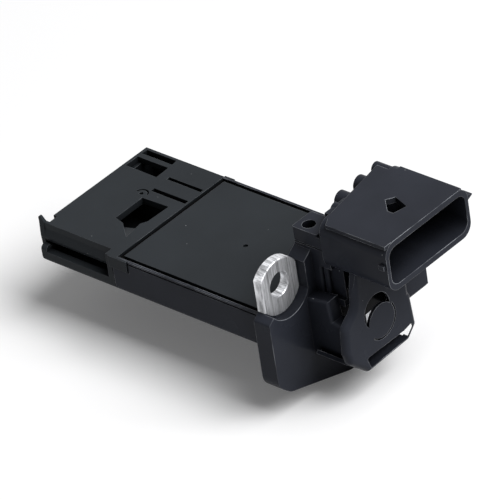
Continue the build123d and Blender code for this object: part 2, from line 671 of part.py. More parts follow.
def inlet_lip():
    """Upper lip of the inlet: flares a little, then curls inwards."""
    profile = outline([
        (LIP_Y, SEAT_Z),
        (LIP_OUTER_Y, LIP_BEND_Z),
        (LIP_OUTER_Y, LIP_BOTTOM_Z, LIP_CURL),
        (LIP_Y + LIP_CURL, LIP_BOTTOM_Z),
        (LIP_Y + LIP_CURL, LIP_BOTTOM_Z + LIP_THICK / 2),
        (LIP_Y + LIP_THICK, LIP_BEND_Z),
        (LIP_Y + LIP_THICK, SEAT_Z),
    ])
    return along_x(profile, TIP_X, LIP_END_X)


def beak():
    """Upright end of the inlet lip, which stands out past the tip and above it."""
    top = TOP_Z + BEAK_RISE
    end = TIP_X - BEAK_REACH
    side = outline([
        (TIP_X, BEAK_BOTTOM_Z),
        (end + BEAK_LEAN, BEAK_BOTTOM_Z, BEAK_LEAN / 2),
        (end, top, BEAK_LEAN),
        (end + BEAK_REACH / 2, top),
        (TIP_X, TOP_Z),
    ])
    front = outline([
        (LIP_OUTER_Y, BEAK_BOTTOM_Z),
        (LIP_OUTER_Y, LIP_BEND_Z),
        (LIP_Y, TOP_Z),
        (LIP_Y, top, BEAK_WIDTH / 2),
        (LIP_Y + BEAK_WIDTH, top),
        (LIP_Y + BEAK_CURL, TOP_Z),
        (LIP_Y + LIP_THICK, SEAT_Z),
        (LIP_Y + LIP_THICK, BEAK_BOTTOM_Z),
    ])
    block = along_y(side, LIP_OUTER_Y, LIP_Y + LIP_CURL)
    return block & along_x(front, end, TIP_X)


def past_corner(points, x, y):
    """Corners moved by x and y; a third number stays as it is."""
    return [(point[0] + x, point[1] + y, *point[2:]) for point in points]


def bypass_cover():
    """Upper half of the tip: plate, openings, inlet lip and the two clips."""
    plate = slab(TIP_X, JOINT_X, LIP_Y, HALF_W, SEAT_Z, TOP_Z)
    plate += slab(JOINT_X, COVER_END_X, -HALF_W, HALF_W, SEAT_Z, TOP_Z)
    plate += slab(LIP_END_X, JOINT_X, -HALF_W, LIP_Y, SEAT_Z, TOP_Z)
    step_y = STEP_INSET - HALF_W
    plate -= slab(TIP_X, TIP_X + STEP_DEPTH, LIP_Y + BEAK_CURL, step_y, SEAT_Z, TOP_Z)
    plate += inlet_lip() + beak()
    for corners in (WINDOW_NARROW, WINDOW_WIDE):
        plate -= along_z(outline(past_corner(corners, TIP_X, HALF_W)), SEAT_Z, TOP_Z)
    plate -= along_z(outline(past_corner(OUTLET, JOINT_X, 0)), SEAT_Z, TOP_Z)
    start, end = TIP_X + SLOT_FROM_TIP, JOINT_X + SLOT_PAST_JOINT
    for near, far in (SLOT_FAR, SLOT_NEAR):
        plate -= slab(start, end, HALF_W - far, HALF_W - near, SEAT_Z, TOP_Z)
    plate -= outlet_ramp()
    plate -= along_z(round_mark(), TOP_Z - MARK_DEPTH, TOP_Z)
    for side, span in ((-1, CLIP_NEAR), (1, CLIP_FAR)):
        plate += clip(side, span)
    return plate


def round_mark():
    """Dot with half a ring around it."""
    centre = Pos(JOINT_X + DOT_AT[0], DOT_AT[1])
    ring = Circle(RING_R) - Circle(RING_R - RING_WIDTH)
    upper = Pos(0, RING_R) * Rectangle(2 * RING_R, 2 * RING_R - RING_WIDTH)
    return centre * (Circle(DOT_R) + (ring & upper))


def outlet_ramp():
    """Wedge cut from the plate: its floor slopes from its apex into the outlet."""
    corners = past_corner(RAMP, JOINT_X, 0)
    prism = along_z(outline(corners), TOP_Z - RAMP_DROP, TOP_Z)
    apex = Vector(*corners[0], TOP_Z)
    left, right = [Vector(x, y, TOP_Z - RAMP_DROP) for x, y in corners[1:]]
    floor = Plane(origin=apex, x_dir=left - apex, z_dir=(right - apex).cross(left - apex))
    return split(prism, bisect_by=floor, keep=Keep.TOP)


def circuit_cover():
    """Flat lid, flush with the probe's top, with one small round mark."""
    lid = slab(LID_TIP_X, LID_END_X, -LID_HALF_W, LID_HALF_W, SEAT_Z, TOP_Z)
    return lid - along_z(Pos(LID_MARK_X, 0) * Circle(LID_MARK_R), TOP_Z - MARK_DEPTH, TOP_Z)


def cover_sealant():
    """Bead in the groove on three sides of the lid."""
    top = TOP_Z - BEAD_DROP
    bead = slab(COVER_END_X, LID_END_X, -GROOVE_HALF_W, GROOVE_HALF_W, SEAT_Z, top)
    return bead - slab(LID_TIP_X, LID_END_X, -LID_HALF_W, LID_HALF_W, SEAT_Z, top)


def base_plate():
    """Aluminium plate on the chamber's floor."""
    half = CHAMBER_HALF_W - PART_GAP
    plate = slab(BOARD_TIP_X, BOARD_TIP_X + PLATE_LENGTH, -half, half, FLOOR_Z, PLATE_TOP_Z)
    return fillet(plate.edges().filter_by(Axis.Z), CHAMBER_CORNER)


def circuit_board():
    """Board on the plate, with its tongue through the wall into the air channel."""
    half = CHAMBER_HALF_W - PART_GAP
    end = BOARD_TIP_X + BOARD_LENGTH
    board = slab(BOARD_TIP_X, end, -half, half, PLATE_TOP_Z, BOARD_TOP_Z)
    tongue_half = TONGUE_WIDTH / 2 - PART_GAP / 2
    low, high = TONGUE_Y - tongue_half, TONGUE_Y + tongue_half
    return board + slab(TONGUE_TIP_X, BOARD_TIP_X, low, high, PLATE_TOP_Z, BOARD_TOP_Z)


def on_board(size, x, y, lift):
    """A flat part of that length, width and height on the board."""
    length, width, thick = size
    z = BOARD_TOP_Z + lift
    return slab(x - length / 2, x + length / 2, y - width / 2, y + width / 2, z, z + thick)


def control_chip():
    """Chip that reads the sensing chip and drives the output."""
    return on_board(CONTROL_CHIP, CONTROL_CHIP_X, 0, 0)


def protective_gel():
    """Soft gel poured over the control chip."""
    length, width, _ = CONTROL_CHIP
    size = (length + 2 * GEL_MARGIN, width + 2 * GEL_MARGIN, GEL_THICK)
    dome = on_board(size, CONTROL_CHIP_X, 0, 0)
    dome = fillet(dome.edges().filter_by(Axis.Z), GEL_CORNER)
    return dome - control_chip()


def chip_capacitors():
    """Row of small capacitors across the board."""
    row = []
    for index in range(CAPACITOR_COUNT):
        y = (index - (CAPACITOR_COUNT - 1) / 2) * CAPACITOR_PITCH
        row.append(on_board(CAPACITOR, CAPACITOR_X, y, 0))
    return Compound(children=row)


def sensor_place():
    """Middle of the sensing chip along X."""
    return TONGUE_TIP_X + CARRIER_FROM_TIP + CARRIER[0] / 2


def sensor_carrier():
    """Thin frame on the tongue that holds the sensing chip."""
    return on_board(CARRIER, sensor_place(), TONGUE_Y, 0)


def sensing_chip():
    """Heated silicon chip in the air stream."""
    return on_board(SENSING_CHIP, sensor_place() - CHIP_SHIFT, TONGUE_Y, CARRIER[2])


def wire_hop(start, end, rise, radius):
    """A thin bonded wire with square bends, from one pad up, across and down."""
    x0, y, z0 = start
    x1, _, z1 = end
    top = max(z0, z1) + rise
    points = [(x0, z0), (x0, top), (x1, top), (x1, z1)]
    band = ribbon(points, 2 * radius)
    return along_y(band, y - radius, y + radius)


def bond_wires():
    """Wires from the sensing chip down to the carrier."""
    chip_end = sensor_place() - CHIP_SHIFT + SENSING_CHIP[0] / 2
    carrier_z = BOARD_TOP_Z + CARRIER[2]
    chip_z = carrier_z + SENSING_CHIP[2]
    wires = []
    for index in range(BOND_WIRE_COUNT):
        y = TONGUE_Y + (index - (BOND_WIRE_COUNT - 1) / 2) * BOND_WIRE_PITCH
        start = (chip_end - BOND_PAD_INSET, y, chip_z)
        end = (chip_end + BOND_PAD_OUT, y, carrier_z)
        wires.append(wire_hop(start, end, BOND_WIRE_RISE, BOND_WIRE_R))
    return Compound(children=wires)


def terminal_wires():
    """Wires from the board up to the inner ends of the terminals."""
    wires = []
    for index in range(TERMINAL_COUNT):
        y = terminal_y(index)
        start = (BOARD_END_X - TERMINAL_PAD, y, BOARD_TOP_Z)
        end = (TERMINAL_START_X + TERMINAL_PAD, y, TERMINAL_Z + TERMINAL_SIDE / 2)
        wires.append(wire_hop(start, end, TERMINAL_WIRE_RISE, TERMINAL_WIRE_R))
    return Compound(children=wires)


def thermistor_bead():
    """Glass bead of the air temperature sensor, in the side channel."""
    bead = Pos(BEAD_X, BEAD_Y, LEAD_Z) * Rot(0, 90, 0) * Cylinder(BEAD_R, BEAD_LENGTH)
    return fillet(bead.edges(), BEAD_R / 2)


def thermistor_leads():
    """Two leads from the bead through the wall to the board."""
    pad_x = BOARD_TIP_X + LEAD_ON_BOARD
    path = [(BEAD_X + BEAD_LENGTH / 2, LEAD_Z), (pad_x, LEAD_Z), (pad_x, BOARD_TOP_Z)]
    leads = Part()
    for side in (-1, 1):
        y = BEAD_Y + side * LEAD_SPREAD / 2
        leads += along_y(ribbon(path, 2 * LEAD_R), y - LEAD_R, y + LEAD_R)
    return leads


def main():
    nodes = {
        "housing": housing(),
        "bypass_channel": bypass_channel(),
        "bypass_cover": bypass_cover(),
        "circuit_cover": circuit_cover(),
        "cover_sealant": cover_sealant(),
        "base_plate": base_plate(),
        "circuit_board": circuit_board(),
        "control_chip": control_chip(),
        "protective_gel": protective_gel(),
        "chip_capacitors": chip_capacitors(),
        "sensor_carrier": sensor_carrier(),
        "sensing_chip": sensing_chip(),
        "bond_wires": bond_wires(),
        "terminal_wires": terminal_wires(),
        "thermistor_bead": thermistor_bead(),
        "thermistor_leads": thermistor_leads(),
    }
    for name in SCREWS:
        nodes["fixing_bush_" + name] = screw_bush(name)
    for index in range(TERMINAL_COUNT):
        nodes["terminal_%d" % (index + 1)] = terminal(index)
    os.makedirs("parts", exist_ok=True)
    for name, shape in nodes.items():
        export_step(shape, "parts/%s.step" % name)


main()
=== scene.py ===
import math

import bmesh
import bpy
from mathutils import Matrix, Vector


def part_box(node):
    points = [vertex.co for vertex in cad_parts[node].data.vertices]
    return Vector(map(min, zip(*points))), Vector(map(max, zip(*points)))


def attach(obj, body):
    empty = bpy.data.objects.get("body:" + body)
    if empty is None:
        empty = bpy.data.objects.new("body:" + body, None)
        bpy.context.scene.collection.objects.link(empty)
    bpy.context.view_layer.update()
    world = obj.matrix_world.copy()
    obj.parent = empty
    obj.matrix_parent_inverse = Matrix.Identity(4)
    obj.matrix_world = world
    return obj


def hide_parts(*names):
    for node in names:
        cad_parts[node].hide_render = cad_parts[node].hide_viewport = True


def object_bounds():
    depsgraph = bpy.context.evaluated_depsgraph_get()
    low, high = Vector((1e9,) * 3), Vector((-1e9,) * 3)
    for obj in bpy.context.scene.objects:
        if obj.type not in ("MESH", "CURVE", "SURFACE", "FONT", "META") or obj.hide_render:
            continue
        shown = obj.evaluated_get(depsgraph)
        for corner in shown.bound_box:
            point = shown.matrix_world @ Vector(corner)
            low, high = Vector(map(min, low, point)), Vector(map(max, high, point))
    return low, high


bl_info = {
    "name": "Mass Airflow Sensor",
    "version": (1, 0, 0),
    "blender": (4, 5, 0),
    "location": "View3D > Sidebar > Airflow Sensor",
    "description": "Finishes and small parts of a plug-in mass airflow sensor",
    "category": "Object",
}

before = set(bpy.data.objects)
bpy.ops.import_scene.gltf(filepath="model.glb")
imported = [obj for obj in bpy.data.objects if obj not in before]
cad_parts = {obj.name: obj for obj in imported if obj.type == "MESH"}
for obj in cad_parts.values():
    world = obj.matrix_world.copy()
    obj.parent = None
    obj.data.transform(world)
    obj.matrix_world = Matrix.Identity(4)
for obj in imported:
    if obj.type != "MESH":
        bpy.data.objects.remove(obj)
CAD_BOX = [list(corner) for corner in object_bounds()]
MM = 0.001
BODY = "root"
TERMINALS = sorted(
    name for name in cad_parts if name.startswith("terminal_") and name[-1].isdigit())
BUSHES = sorted(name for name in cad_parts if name.startswith("fixing_bush_"))

# Small parts
BOND_WIRE_COUNT = 6
WIRE_STEPS = 20
WIRE_SIDES = 14
CAPACITOR_COUNT = 6
END_CAP_SHARE = 0.22
END_CAP_PROUD = 0.06
MERGE = 1e-7
FLAT_ANGLE = math.radians(1.0)
ROUND_SEGMENTS = 2

# Moulded plastic
FLOW_MARK_SCALE = 75.0
FLOW_MARK_POLISH = 0.5
GRAIN_DEPTH = 0.02 * MM
DUST_PATCH_SCALE = 90.0
DUST_PATCH_SPAN = (0.5, 0.65)

# Painted edge highlight: the cosine of an edge's turn, and how open it lies, from no highlight to full
EDGE_TURN = (0.97, 0.78)
EDGE_OPEN = (0.7, 0.97)
EDGE_REACH = 3.0
# The painted edge highlight is broken into patches by noise: its scale, span and least share
HIGHLIGHT_PATCH_SCALE = 260.0
HIGHLIGHT_PATCH_SPAN = (0.4, 0.6)
HIGHLIGHT_PATCH_LEAST = 0.2
# Painted shade in corners: how open the surface lies, from darkest to none, and the least share of the
# colour left
SHADE_SPAN = (0.15, 0.9)
SHADE_LEAST = 0.12

# Scratched metal
SCRATCH_SPAN = (0.36, 0.6)
SCRATCH_DEPTH = 0.03 * MM
SCRATCH_DULL = 0.14
SCRATCH_POLISH = 0.06

# Stage
FLOOR_LIFT = 0.09
FLOOR_HALF = 3.0
WORLD_LIGHT = 0.15
KEY_PLACE = (0.92, 0.28, 1.32)
KEY_SIDE = 1.15
KEY_POWER = 33.0
CAMERA_AIM = (-0.0156, -0.0003, 0.0032)
SENSOR_WIDTH = 36.0
CLIP_RANGE = (0.01, 20.0)


class SensorSizes(bpy.types.PropertyGroup):
    """Sizes that a user would change."""

    edge_round: bpy.props.FloatProperty(
        name="Edge rounding", description="Rounding of the mouldings' sharp edges",
        default=0.22 * MM, unit="LENGTH", precision=5)
    thin_edge_round: bpy.props.FloatProperty(
        name="Thin edge rounding", description="Rounding of edges beside narrow slots",
        default=0.1 * MM, unit="LENGTH", precision=5)
    pin_round: bpy.props.FloatProperty(
        name="Pin edge rounding", description="Rounding of the terminals' edges",
        default=0.06 * MM, unit="LENGTH", precision=5)
    bond_wire_radius: bpy.props.FloatProperty(
        name="Bond wire radius", description="Radius of the sensing chip's wires",
        default=0.06 * MM, unit="LENGTH", precision=5)
    terminal_wire_radius: bpy.props.FloatProperty(
        name="Terminal wire radius", description="Radius of the wires from board to terminals",
        default=0.12 * MM, unit="LENGTH", precision=5)
    capacitor_width: bpy.props.FloatProperty(
        name="Capacitor width", description="Across one small capacitor",
        default=0.8 * MM, unit="LENGTH", precision=5)
    # Painted shade: how far a nearby wall darkens the colour in the corner beside it
    shade_reach: bpy.props.FloatProperty(
        name="Shade reach", description="How far a wall shades the corner beside it",
        default=9.0 * MM, unit="LENGTH", precision=5)
    grain_size: bpy.props.FloatProperty(
        name="Grain size", description="Size of the fine grain in the moulded plastic",
        default=0.12 * MM, unit="LENGTH", precision=5)
    camera_distance: bpy.props.FloatProperty(
        name="Camera distance", description="From the camera to the point it looks at",
        default=0.98971, unit="LENGTH")
    camera_azimuth: bpy.props.FloatProperty(
        name="Camera azimuth", description="Turn of the camera round the part",
        default=math.radians(46.21), subtype="ANGLE")
    camera_elevation: bpy.props.FloatProperty(
        name="Camera elevation", description="Height of the camera above the horizon",
        default=math.radians(33.84), subtype="ANGLE")
    camera_roll: bpy.props.FloatProperty(
        name="Camera roll", description="Tilt of the picture to the left",
        default=math.radians(9.08), subtype="ANGLE")
    lens: bpy.props.FloatProperty(
        name="Lens", description="Focal length in millimetres on a 36 mm sensor", default=425.06)
    floor_drop: bpy.props.FloatProperty(
        name="Floor gap", description="From the lowest point down to the floor",
        default=0.05 * MM, unit="LENGTH", precision=5)


class SensorColours(bpy.types.PropertyGroup):
    """Colours of the finishes."""

    housing: bpy.props.FloatVectorProperty(
        name="Housing", description="Black moulding", subtype="COLOR", default=(0.028, 0.031, 0.041))
    covers: bpy.props.FloatVectorProperty(
        name="Covers", description="Probe tip and lid", subtype="COLOR", default=(0.027, 0.031, 0.0355))
    sealant: bpy.props.FloatVectorProperty(
        name="Sealant", description="Bead round the lid", subtype="COLOR", default=(0.003, 0.003, 0.003))
    aluminium: bpy.props.FloatVectorProperty(
        name="Aluminium", description="Bushes, wires and heat plate", subtype="COLOR",
        default=(0.84, 0.85, 0.88))
    tin: bpy.props.FloatVectorProperty(
        name="Tin plate", description="Terminals", subtype="COLOR", default=(0.56, 0.56, 0.54))
    chip_resin: bpy.props.FloatVectorProperty(
        name="Chip resin", description="Chip and carrier", subtype="COLOR", default=(0.02, 0.02, 0.022))
    board: bpy.props.FloatVectorProperty(
        name="Board", description="Solder resist", subtype="COLOR", default=(0.02, 0.11, 0.05))
    gel: bpy.props.FloatVectorProperty(
        name="Gel", description="Soft gel over the chip", subtype="COLOR", default=(0.42, 0.43, 0.40))
    ceramic: bpy.props.FloatVectorProperty(
        name="Ceramic", description="Capacitors", subtype="COLOR", default=(0.30, 0.19, 0.10))
    bead_glass: bpy.props.FloatVectorProperty(
        name="Bead glass", description="Temperature sensor", subtype="COLOR", default=(0.45, 0.20, 0.06))
    silicon: bpy.props.FloatVectorProperty(
        name="Silicon", description="Sensing chip", subtype="COLOR", default=(0.30, 0.31, 0.38))
    # Pale colour painted onto the mouldings' open edges as a highlight
    painted_edge_highlight: bpy.props.FloatVectorProperty(
        name="Painted edge highlight", description="Highlight painted along the mouldings' edges", subtype="COLOR",
        default=(0.46, 0.48, 0.52))
    dust: bpy.props.FloatVectorProperty(
        name="Dust", description="Specks of dust", subtype="COLOR", default=(0.30, 0.31, 0.32))
    floor: bpy.props.FloatVectorProperty(
        name="Floor", description="Pale floor", subtype="COLOR", default=(0.97, 0.97, 0.975))
    floor_bounce: bpy.props.FloatVectorProperty(
        name="Floor bounce", description="Colour of the light that the floor sends up",
        subtype="COLOR", default=(0.55, 0.55, 0.55))


def sizes():
    return bpy.context.scene.sensor_sizes


def colours():
    return bpy.context.scene.sensor_colours


def link(tree, source, target):
    tree.links.new(source, target)


def put(tree, kind, **values):
    """A node of that kind; each keyword names an input or a property."""
    made = tree.nodes.new(kind)
    for name, value in values.items():
        key = name.replace("_", " ")
        found = [socket for socket in made.inputs if socket.name.lower() == key.lower()]
        if found:
            found[0].default_value = value
        else:
            setattr(made, name, value)
    return made


def remap(tree, source, span, out=(0.0, 1.0)):
    """The source's value, moved from one span to another."""
    made = put(tree, "ShaderNodeMapRange", From_Min=span[0], From_Max=span[1],
               To_Min=out[0], To_Max=out[1])
    link(tree, source, made.inputs["Value"])
    return made.outputs["Result"]


def link_or_set(tree, value, socket):
    """Link a socket to the input, or set the plain value there."""
    if isinstance(value, bpy.types.NodeSocket):
        link(tree, value, socket)
    elif isinstance(value, float):
        socket.default_value = value
    else:
        socket.default_value = (*value, 1.0)


def math_of(tree, operation, first, second):
    """Result of a Math node on a socket and a second socket or number."""
    made = put(tree, "ShaderNodeMath", operation=operation)
    link(tree, first, made.inputs[0])
    link_or_set(tree, second, made.inputs[1])
    return made.outputs[0]


def scaled(tree, colour, factor):
    """The colour times a factor."""
    made = put(tree, "ShaderNodeVectorMath", operation="SCALE")
    link(tree, colour, made.inputs[0])
    link(tree, factor, made.inputs["Scale"])
    return made.outputs[0]


def blend(tree, factor, first, second):
    """Mix of two colours, each a socket or a plain colour."""
    made = put(tree, "ShaderNodeMix", data_type="RGBA")
    link(tree, factor, made.inputs[0])
    link_or_set(tree, first, made.inputs[6])
    link_or_set(tree, second, made.inputs[7])
    return made.outputs[2]


def noise(tree, place, scale, detail=2.0, roughness=0.5):
    """Value of a noise texture at that place."""
    made = put(tree, "ShaderNodeTexNoise", Detail=detail, Roughness=roughness)
    link(tree, place, made.inputs["Vector"])
    link_or_set(tree, scale, made.inputs["Scale"])
    return made.outputs["Fac"]


def openness(tree, distance, samples):
    """How open the surface lies, within that distance."""
    made = tree.nodes.new("ShaderNodeAmbientOcclusion")
    made.samples = samples
    link(tree, distance, made.inputs["Distance"])
    return made.outputs["AO"]


def group_of(name, inputs, outputs):
    """An empty shader node group with named sockets, and its two end nodes."""
    tree = bpy.data.node_groups.new(name, "ShaderNodeTree")
    for label, kind, default in inputs:
        socket = tree.interface.new_socket(label, in_out="INPUT", socket_type=kind)
        if default is not None:
            socket.default_value = default
    for label, kind in outputs:
        tree.interface.new_socket(label, in_out="OUTPUT", socket_type=kind)
    return tree, tree.nodes.new("NodeGroupInput"), tree.nodes.new("NodeGroupOutput")


def moulded_grain_group():
    """Fine moulded grain with soft flow marks: colour, roughness and height."""
    tree, start, end = group_of("Moulded Grain", [
        ("Vector", "NodeSocketVector", None),
        ("Colour", "NodeSocketColor", (0.02, 0.02, 0.02, 1.0)),
        ("Roughness", "NodeSocketFloat", 0.4),
        ("Grain Scale", "NodeSocketFloat", 6000.0),
        ("Mottle", "NodeSocketFloat", 0.15),
    ], [
        ("Colour", "NodeSocketColor"),
        ("Roughness", "NodeSocketFloat"),
        ("Height", "NodeSocketFloat"),
    ])
    place = start.outputs["Vector"]
    fine = noise(tree, place, start.outputs["Grain Scale"], 3.0, 0.6)
    broad = noise(tree, place, FLOW_MARK_SCALE, 4.0)
    centred = math_of(tree, "SUBTRACT", broad, 0.5)
    shift = math_of(tree, "MULTIPLY", centred, start.outputs["Mottle"])
    gain = math_of(tree, "ADD", shift, 1.0)
    link(tree, scaled(tree, start.outputs["Colour"], gain), end.inputs["Colour"])
    rough = put(tree, "ShaderNodeMath", operation="MULTIPLY_ADD")
    rough.inputs[1].default_value = FLOW_MARK_POLISH
    link(tree, shift, rough.inputs[0])
    link(tree, start.outputs["Roughness"], rough.inputs[2])
    link(tree, rough.outputs[0], end.inputs["Roughness"])
    link(tree, fine, end.inputs["Height"])
    return tree


def fine_dust_group():
    """Sparse pale specks of dust: the colour with the specks in it."""
    tree, start, end = group_of("Fine Dust", [
        ("Vector", "NodeSocketVector", None),
        ("Colour", "NodeSocketColor", (0.02, 0.02, 0.02, 1.0)),
        ("Dust Colour", "NodeSocketColor", (0.4, 0.4, 0.4, 1.0)),
        ("Scale", "NodeSocketFloat", 450.0),
        ("Speck Size", "NodeSocketFloat", 0.05),
    ], [
        ("Colour", "NodeSocketColor"),
    ])
    place = start.outputs["Vector"]
    cells = put(tree, "ShaderNodeTexVoronoi")
    link(tree, place, cells.inputs["Vector"])
    link(tree, start.outputs["Scale"], cells.inputs["Scale"])
    near = math_of(tree, "LESS_THAN", cells.outputs["Distance"], start.outputs["Speck Size"])
    patches = remap(tree, noise(tree, place, DUST_PATCH_SCALE), DUST_PATCH_SPAN)
    mask = math_of(tree, "MULTIPLY", near, patches)
    mixed = blend(tree, mask, start.outputs["Colour"], start.outputs["Dust Colour"])
    link(tree, mixed, end.inputs["Colour"])
    return tree


def painted_edge_light_and_shade_group():
    """Highlight painted on the open outer edges and shade painted into corners: the colour, and normals
    rounded at the edges.
    """
    tree, start, end = group_of("Painted Edge Light And Shade", [
        ("Vector", "NodeSocketVector", None),
        ("Colour", "NodeSocketColor", (0.02, 0.02, 0.02, 1.0)),
        ("Highlight Colour", "NodeSocketColor", (0.3, 0.3, 0.3, 1.0)),
        ("Radius", "NodeSocketFloat", 0.0002),
        ("Reach", "NodeSocketFloat", 0.001),
        ("Amount", "NodeSocketFloat", 1.0),
    ], [
        ("Colour", "NodeSocketColor"),
        ("Normal", "NodeSocketVector"),
    ])
    rounded = tree.nodes.new("ShaderNodeBevel")
    rounded.samples = 8
    link(tree, start.outputs["Radius"], rounded.inputs["Radius"])
    flat = tree.nodes.new("ShaderNodeNewGeometry")
    alike = put(tree, "ShaderNodeVectorMath", operation="DOT_PRODUCT")
    link(tree, rounded.outputs["Normal"], alike.inputs[0])
    link(tree, flat.outputs["True Normal"], alike.inputs[1])
    beside = math_of(tree, "MULTIPLY", start.outputs["Radius"], EDGE_REACH)
    # Painted highlight: the colour goes pale where the rounded normal turns from the flat one, on open
    # edges, in patches
    mask = remap(tree, alike.outputs["Value"], EDGE_TURN)
    for factor in (
        remap(tree, openness(tree, beside, 6), EDGE_OPEN),
        remap(tree, noise(tree, start.outputs["Vector"], HIGHLIGHT_PATCH_SCALE), HIGHLIGHT_PATCH_SPAN, (HIGHLIGHT_PATCH_LEAST, 1.0)),
        start.outputs["Amount"],
    ):
        mask = math_of(tree, "MULTIPLY", mask, factor)
    # Painted shade: the colour darkens where walls within reach close the surface in
    shade = remap(tree, openness(tree, start.outputs["Reach"], 8), SHADE_SPAN, (SHADE_LEAST, 1.0))
    shaded = scaled(tree, start.outputs["Colour"], shade)
    link(tree, blend(tree, mask, shaded, start.outputs["Highlight Colour"]), end.inputs["Colour"])
    link(tree, rounded.outputs["Normal"], end.inputs["Normal"])
    return tree


def scratch_group():
    """Fine drawn scratches along one direction: value and height."""
    tree, start, end = group_of("Drawn Scratches", [
        ("Vector", "NodeSocketVector", None),
        ("Stretch", "NodeSocketVector", (1.0, 1.0, 1.0)),
        ("Scale", "NodeSocketFloat", 2500.0),
    ], [
        ("Value", "NodeSocketFloat"),
        ("Height", "NodeSocketFloat"),
    ])
    squeeze = put(tree, "ShaderNodeVectorMath", operation="MULTIPLY")
    link(tree, start.outputs["Vector"], squeeze.inputs[0])
    link(tree, start.outputs["Stretch"], squeeze.inputs[1])
    lines = noise(tree, squeeze.outputs[0], start.outputs["Scale"], 6.0, 0.7)
    link(tree, remap(tree, lines, SCRATCH_SPAN), end.inputs["Value"])
    link(tree, lines, end.inputs["Height"])
    return tree


def shared_group(name, maker):
    """The shared group of that name, made the first time it is asked for."""
    return bpy.data.node_groups.get(name) or maker()


def new_material(name):
    """A material with its shader, output and object coordinates."""
    material = bpy.data.materials.new(name)
    material.use_nodes = True
    tree = material.node_tree
    tree.nodes.clear()
    shader = tree.nodes.new("ShaderNodeBsdfPrincipled")
    output = tree.nodes.new("ShaderNodeOutputMaterial")
    link(tree, shader.outputs["BSDF"], output.inputs["Surface"])
    place = tree.nodes.new("ShaderNodeTexCoord")
    return material, tree, shader, place.outputs["Object"]


def group_in(tree, name, maker, place):
    """A shared group placed in a material, reading the object coordinates."""
    node = tree.nodes.new("ShaderNodeGroup")
    node.node_tree = shared_group(name, maker)
    link(tree, place, node.inputs["Vector"])
    return node


def raise_surface(tree, shader, height, strength, distance, normal=None):
    """Bump from a height, over the given normals."""
    raised = put(tree, "ShaderNodeBump", Strength=strength, Distance=distance)
    link(tree, height, raised.inputs["Height"])
    if normal is not None:
        link(tree, normal, raised.inputs["Normal"])
    link(tree, raised.outputs["Normal"], shader.inputs["Normal"])


def plastic(name, colour, roughness=0.38, specular=0.04, mottle=0.2, bump=0.08,
            edge=0.0, highlight_amount=0.0, dust=0.0):
    """Moulded plastic with fine grain, soft flow marks, a painted highlight on open edges, painted shade
    in corners and a little dust.
    """
    material, tree, shader, place = new_material(name)
    grain = group_in(tree, "Moulded Grain", moulded_grain_group, place)
    grain.inputs["Colour"].default_value = (*colour, 1.0)
    grain.inputs["Roughness"].default_value = roughness
    grain.inputs["Grain Scale"].default_value = 1.0 / sizes().grain_size
    grain.inputs["Mottle"].default_value = mottle
    shown, normal = grain.outputs["Colour"], None
    if edge > 0.0:
        rim = group_in(tree, "Painted Edge Light And Shade", painted_edge_light_and_shade_group, place)
        rim.inputs["Highlight Colour"].default_value = (*colours().painted_edge_highlight, 1.0)
        rim.inputs["Radius"].default_value = edge
        rim.inputs["Reach"].default_value = sizes().shade_reach
        rim.inputs["Amount"].default_value = highlight_amount
        link(tree, shown, rim.inputs["Colour"])
        shown, normal = rim.outputs["Colour"], rim.outputs["Normal"]
    if dust > 0.0:
        specks = group_in(tree, "Fine Dust", fine_dust_group, place)
        specks.inputs["Dust Colour"].default_value = (*colours().dust, 1.0)
        specks.inputs["Speck Size"].default_value = dust
        link(tree, shown, specks.inputs["Colour"])
        shown = specks.outputs["Colour"]
    link(tree, shown, shader.inputs["Base Color"])
    link(tree, grain.outputs["Roughness"], shader.inputs["Roughness"])
    raise_surface(tree, shader, grain.outputs["Height"], bump, GRAIN_DEPTH, normal)
    shader.inputs["Specular IOR Level"].default_value = specular
    return material


def drawn_metal(name, colour, stretch, roughness=0.28, scale=2500.0, bump=0.35, dark=0.62):
    """Bare metal with scratches drawn along one direction."""
    material, tree, shader, place = new_material(name)
    lines = group_in(tree, "Drawn Scratches", scratch_group, place)
    lines.inputs["Stretch"].default_value = stretch
    lines.inputs["Scale"].default_value = scale
    value = lines.outputs["Value"]
    worn = [dark * part for part in colour]
    link(tree, blend(tree, value, worn, colour), shader.inputs["Base Color"])
    polish = remap(tree, value, (0.0, 1.0), (roughness + SCRATCH_DULL, roughness - SCRATCH_POLISH))
    link(tree, polish, shader.inputs["Roughness"])
    raise_surface(tree, shader, lines.outputs["Height"], bump, SCRATCH_DEPTH)
    shader.inputs["Metallic"].default_value = 1.0
    return material


def show_as(node_name, material):
    """Give a CAD node's own object that material."""
    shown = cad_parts[node_name]
    shown.data.materials.clear()
    shown.data.materials.append(material)


def row_group(name, inputs):
    """A geometry node group for a row along Y, and its two end nodes."""
    tree = bpy.data.node_groups.new(name, "GeometryNodeTree")
    tree.interface.new_socket("Geometry", in_out="INPUT", socket_type="NodeSocketGeometry")
    for label, kind in [("Count", "Int"), ("Pitch", "Float"), *inputs]:
        tree.interface.new_socket(label, in_out="INPUT", socket_type="NodeSocket" + kind)
    tree.interface.new_socket("Geometry", in_out="OUTPUT", socket_type="NodeSocketGeometry")
    return tree, tree.nodes.new("NodeGroupInput"), tree.nodes.new("NodeGroupOutput")


